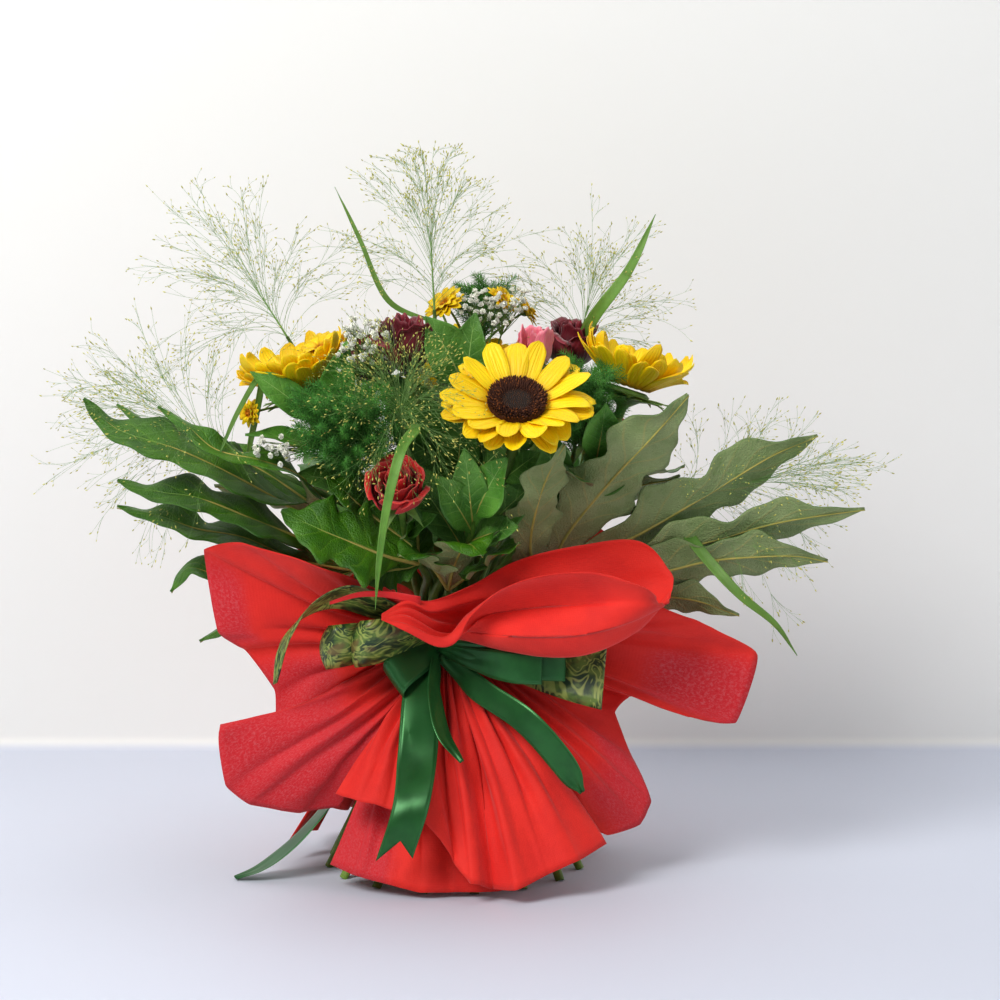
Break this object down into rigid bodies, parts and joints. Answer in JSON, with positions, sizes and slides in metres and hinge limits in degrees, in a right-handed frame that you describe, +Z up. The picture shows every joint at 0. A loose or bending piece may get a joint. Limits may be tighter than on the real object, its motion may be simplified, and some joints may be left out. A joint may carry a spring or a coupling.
{
  "type": "mixed flower bouquet",
  "caption": "Hand-tied mixed bouquet: sunflowers, roses, airy grass and large lobed leaves in a gathered red wrap with ribbons, standing on its splayed cut stems.",
  "frame": {"origin": "centre of the bounding box's base, on the surface the stems stand on", "axes": "+Z up, +X to the viewer's right across the widest reach of the leaves and grass, -Y towards the viewer of the front"},
  "size_m": [0.5538, 0.3298, 0.4995],
  "materials": {
    "stem": "matte, fresh green",
    "leaf": "glossy leaf top",
    "leaf_under": "matte leaf underside",
    "grass": "matte",
    "fern": "matte",
    "petal_yellow": "soft petal",
    "disc": "matte, rough",
    "petal_burgundy": "velvety petal",
    "petal_red": "velvety petal",
    "petal_pink": "soft petal",
    "filler_white": "matte",
    "wrap": "non-woven, matte",
    "satin": "satin",
    "printed": "printed foliage-like mottle",
    "tie": "natural fibre"
  },
  "bodies": {
    "root": {"panicle_top": "grass", "spray_yellow_top": "petal_yellow", "gypsophila_top": "filler_white", "fern_top": "fern", "sprig_centre": "leaf", "rose_burgundy_left": "stem", "pink_bloom": "stem", "rose_burgundy_right": "stem", "panicle_top_right": "grass", "spray_yellow_left": "petal_yellow", "gypsophila_left": "filler_white", "rose_burgundy_back": "stem", "sprig_left": "leaf", "fern_right": "fern", "sunflower_back": "stem", "sunflower_left": "stem", "panicle_left_high": "grass", "panicle_centre": "grass", "fern_left": "fern", "sunflower_right": "stem", "fern_back": "fern", "sunflower_front": "stem", "rose_red_back": "stem", "sprig_right": "leaf", "sprig_low": "leaf", "rose_red_front": "stem", "panicle_left": "grass", "panicle_right": "grass", "leaf_right": "leaf_under", "leaf_left_high": "leaf", "leaf_left_low": "leaf", "leaf_front_left": "leaf", "leaf_front": "leaf", "leaf_back_left": "leaf", "leaf_back_right": "leaf", "sunflower_front_petals": "petal_yellow", "sunflower_front_disc": "disc", "sunflower_right_petals": "petal_yellow", "sunflower_right_disc": "disc", "sunflower_left_petals": "petal_yellow", "sunflower_left_disc": "disc", "sunflower_back_petals": "petal_yellow", "sunflower_back_disc": "disc", "rose_burgundy_left_bloom": "petal_burgundy", "rose_burgundy_right_bloom": "petal_burgundy", "rose_burgundy_back_bloom": "petal_burgundy", "rose_red_front_bloom": "petal_red", "rose_red_back_bloom": "petal_red", "pink_bloom_bloom": "petal_pink", "stem_tie": "tie", "wrap_scroll": "wrap", "wrap_left": "wrap", "wrap_right": "wrap", "wrap_front": "wrap", "wrap_front_under": "wrap", "wrap_back": "wrap", "ribbon_satin": "satin", "ribbon_printed": "printed"}
  },
  "joints": []
}
